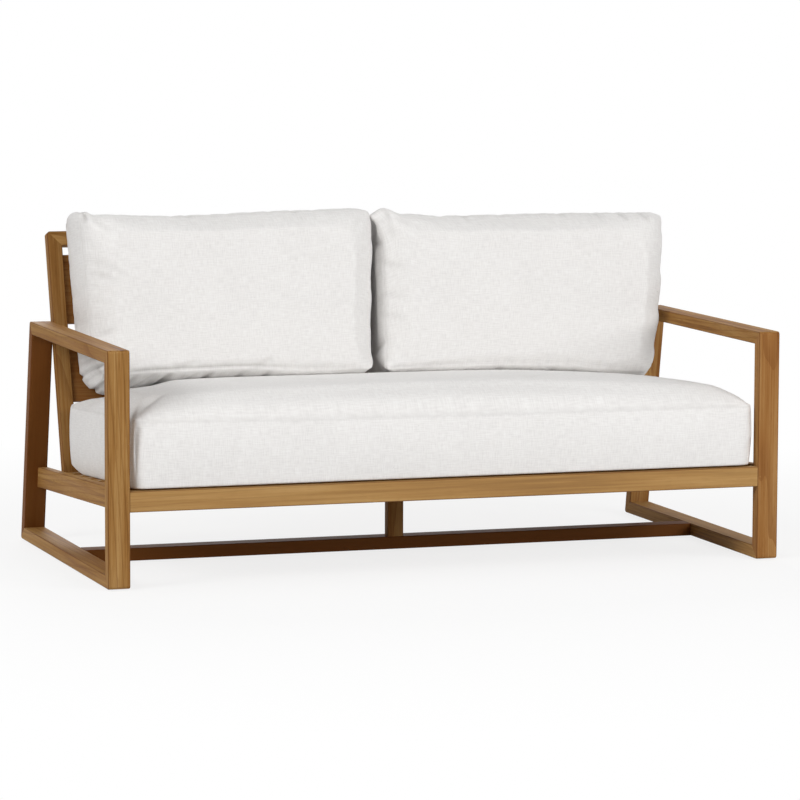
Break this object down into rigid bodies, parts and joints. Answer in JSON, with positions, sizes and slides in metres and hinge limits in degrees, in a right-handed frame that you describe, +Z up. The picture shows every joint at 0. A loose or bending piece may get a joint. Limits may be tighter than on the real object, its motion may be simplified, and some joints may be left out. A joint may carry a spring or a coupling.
{
  "type": "patio loveseat",
  "caption": "Low outdoor teak sofa for two with mitred open side loops, a pitched slatted seat, a leaning boarded back and loose boxed cushions in pale woven cloth.",
  "frame": {"origin": "centre of the footprint, on the floor", "axes": "+X along the sofa, to the right seen from the front; -Y is its front; +Z is up"},
  "size_m": [1.83, 0.9503, 0.9063],
  "materials": {
    "teak": "oiled",
    "inner_teak": "raw",
    "stainless_steel": "satin",
    "glide_plastic": "matte",
    "cushion_cloth": "plain weave",
    "foam": "open cell"
  },
  "bodies": {
    "frame": {"left_front_leg": "teak", "left_arm": "teak", "left_rear_leg": "teak", "left_sled": "teak", "right_front_leg": "teak", "right_arm": "teak", "right_rear_leg": "teak", "right_sled": "teak", "left_seat_rail": "teak", "right_seat_rail": "teak", "front_seat_rail": "teak", "floor_stretcher": "teak", "centre_post": "teak", "centre_bearer": "teak", "left_slat_cleat": "teak", "right_slat_cleat": "teak", "seat_slat_1": "teak", "seat_slat_2": "teak", "seat_slat_3": "teak", "seat_slat_4": "teak", "seat_slat_5": "teak", "seat_slat_6": "teak", "seat_slat_7": "teak", "left_back_stile": "teak", "right_back_stile": "teak", "back_top_rail": "teak", "back_bottom_rail": "teak", "back_board_upper": "teak", "back_board_lower": "teak", "back_centre_batten": "teak", "mitre_tenons": "inner_teak", "tenon_pins": "inner_teak", "bolt_plugs": "inner_teak", "slat_screws": "stainless_steel", "cleat_screws": "stainless_steel", "batten_screws": "stainless_steel", "back_frame_bolts": "stainless_steel", "foot_glides": "glide_plastic"},
    "seat_cushion": {"seat_cushion": "cushion_cloth", "seat_foam_core": "foam"},
    "left_back_cushion": {"left_back_cushion": "cushion_cloth", "left_back_core": "foam"},
    "right_back_cushion": {"right_back_cushion": "cushion_cloth", "right_back_core": "foam"}
  },
  "joints": [
    {"name": "seat_cushion_slide", "type": "slide", "parent": "frame", "child": "seat_cushion", "axis": [0, -0.9984, 0.0558], "range_m": [0, 0.7]},
    {"name": "left_back_cushion_slide", "type": "slide", "parent": "frame", "child": "left_back_cushion", "axis": [0, 0.2723, 0.9622], "range_m": [0, 0.5]},
    {"name": "right_back_cushion_slide", "type": "slide", "parent": "frame", "child": "right_back_cushion", "axis": [0, 0.2723, 0.9622], "range_m": [0, 0.5]}
  ]
}
